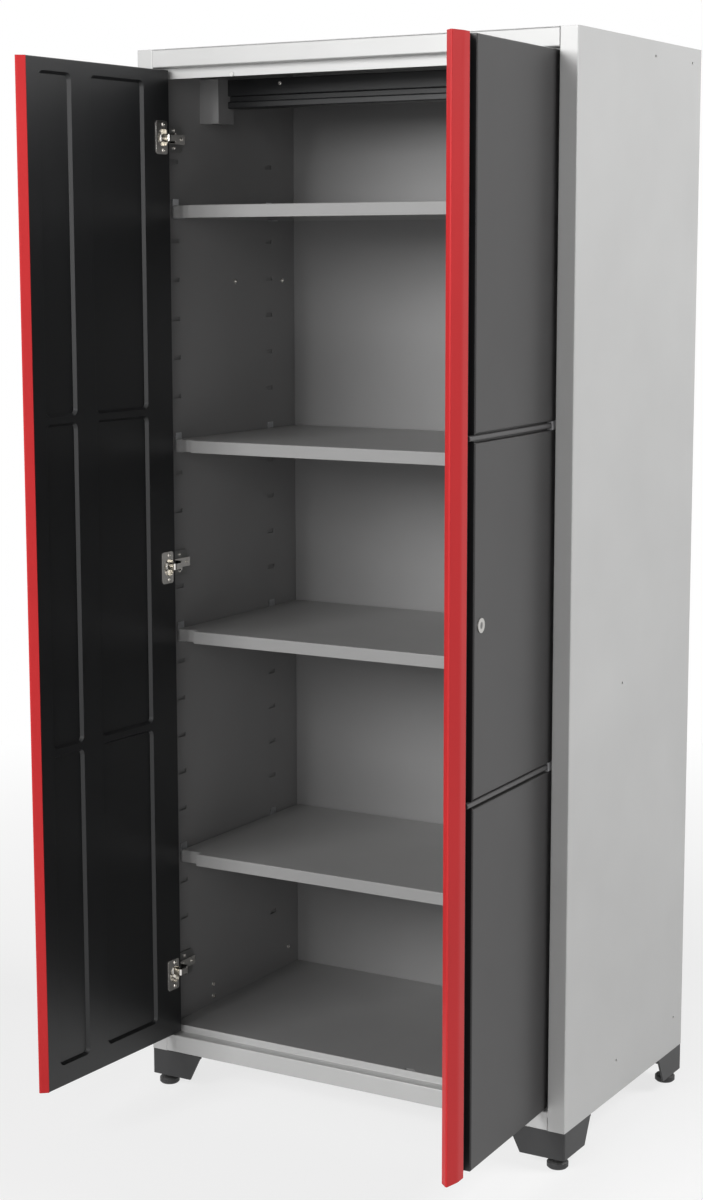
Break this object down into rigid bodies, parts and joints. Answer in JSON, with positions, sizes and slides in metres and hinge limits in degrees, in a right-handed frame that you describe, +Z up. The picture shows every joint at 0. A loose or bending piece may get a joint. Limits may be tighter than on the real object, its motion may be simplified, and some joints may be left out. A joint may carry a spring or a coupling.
{
  "type": "two-door tool cabinet",
  "caption": "Tall free-standing steel tool cabinet with two hinged doors, red full-height grips, adjustable shelves, a rod lock and levelling feet.",
  "frame": {"origin": "on the floor under the middle of the whole cabinet with its doors open as in the picture", "axes": "+X to the cabinet's right seen from the front, +Y to the rear, +Z up"},
  "size_m": [0.914, 0.9574, 2.041],
  "materials": {
    "carcass": "satin silver-grey powder coat",
    "interior": "satin mid-grey powder coat",
    "shelf": "satin light-grey powder coat",
    "black_paint": "semi-gloss black powder coat",
    "panel": "satin dark-grey powder coat",
    "grip": "satin red powder coat on extruded aluminium",
    "steel": "bright nickel plate",
    "zinc": "bright zinc plate",
    "foot": "matt black moulding",
    "strip": "satin dark-grey moulding",
    "guide": "matt black moulding"
  },
  "bodies": {
    "cabinet": {"back_panel": "interior", "bottom_rail": "carcass", "cross_rail": "black_paint", "cross_rail_bracket_left": "interior", "cross_rail_bracket_right": "interior", "floor_panel": "interior", "foot_front_left": "foot", "foot_front_right": "foot", "foot_rear_left": "foot", "foot_rear_right": "foot", "header_rail": "carcass", "hinge_plates": "steel", "left_hinge_arm_lower": "steel", "left_hinge_arm_middle": "steel", "left_hinge_arm_upper": "steel", "right_hinge_arm_lower": "steel", "right_hinge_arm_middle": "steel", "right_hinge_arm_upper": "steel", "shelf_1": "shelf", "shelf_2": "shelf", "shelf_3": "shelf", "shelf_4": "shelf", "shelf_clips": "zinc", "side_liner_left": "interior", "side_liner_right": "interior", "side_panel_left": "carcass", "side_panel_right": "carcass", "top_panel": "carcass"},
    "left_door": {"left_door_pan": "black_paint", "left_finger_channel": "black_paint", "left_grip_strip": "grip", "left_hinge_cup_lower": "steel", "left_hinge_cup_middle": "steel", "left_hinge_cup_upper": "steel", "left_hinge_pins": "steel", "left_panel_lower": "panel", "left_panel_middle": "panel", "left_panel_upper": "panel", "left_seam_strips": "strip"},
    "right_door": {"right_door_pan": "black_paint", "right_finger_channel": "black_paint", "right_grip_strip": "grip", "right_hinge_cup_lower": "steel", "right_hinge_cup_middle": "steel", "right_hinge_cup_upper": "steel", "right_hinge_pins": "steel", "right_panel_lower": "panel", "right_panel_middle": "panel", "right_panel_upper": "panel", "right_seam_strips": "strip", "lock_housing": "steel", "rod_guides": "guide"},
    "lock_barrel": {"lock_plug": "steel", "lock_crank": "steel"},
    "upper_rod": {"lock_rod_upper": "zinc"},
    "lower_rod": {"lock_rod_lower": "zinc"},
    "glide_front_left": {"glide_front_left": "foot"},
    "glide_front_right": {"glide_front_right": "foot"},
    "glide_rear_left": {"glide_rear_left": "foot"},
    "glide_rear_right": {"glide_rear_right": "foot"}
  },
  "joints": [
    {"name": "left_door_swing", "type": "hinge", "parent": "cabinet", "child": "left_door", "pos_m": [-0.411, -0.07164, 1.059], "axis": [0, 0, 1], "range_deg": [-2, 93]},
    {"name": "right_door_swing", "type": "hinge", "parent": "cabinet", "child": "right_door", "pos_m": [0.411, -0.07164, 1.059], "axis": [0, 0, -1], "range_deg": [-2.8, 92.2]},
    {"name": "lock_turn", "type": "hinge", "parent": "right_door", "child": "lock_barrel", "pos_m": [0.41883, -0.37457, 1.053], "axis": [-0.9993, -0.0384, 0], "range_deg": [0, 90]},
    {"name": "upper_rod_slide", "type": "slide", "parent": "right_door", "child": "upper_rod", "axis": [0, 0, 1], "range_m": [0, 0.01697]},
    {"name": "lower_rod_slide", "type": "slide", "parent": "right_door", "child": "lower_rod", "axis": [0, 0, -1], "range_m": [0, 0.017]},
    {"name": "glide_front_left_adjust", "type": "slide", "parent": "cabinet", "child": "glide_front_left", "axis": [0, 0, 1], "range_m": [-0.012, 0.008]},
    {"name": "glide_front_right_adjust", "type": "slide", "parent": "cabinet", "child": "glide_front_right", "axis": [0, 0, 1], "range_m": [-0.012, 0.008]},
    {"name": "glide_rear_left_adjust", "type": "slide", "parent": "cabinet", "child": "glide_rear_left", "axis": [0, 0, 1], "range_m": [-0.012, 0.008]},
    {"name": "glide_rear_right_adjust", "type": "slide", "parent": "cabinet", "child": "glide_rear_right", "axis": [0, 0, 1], "range_m": [-0.012, 0.008]}
  ],
  "couplings": [
    {"joint": "lock_turn", "follows": "upper_rod_slide", "rad_per_m": 92.56},
    {"joint": "lower_rod_slide", "follows": "upper_rod_slide", "ratio": 1}
  ]
}
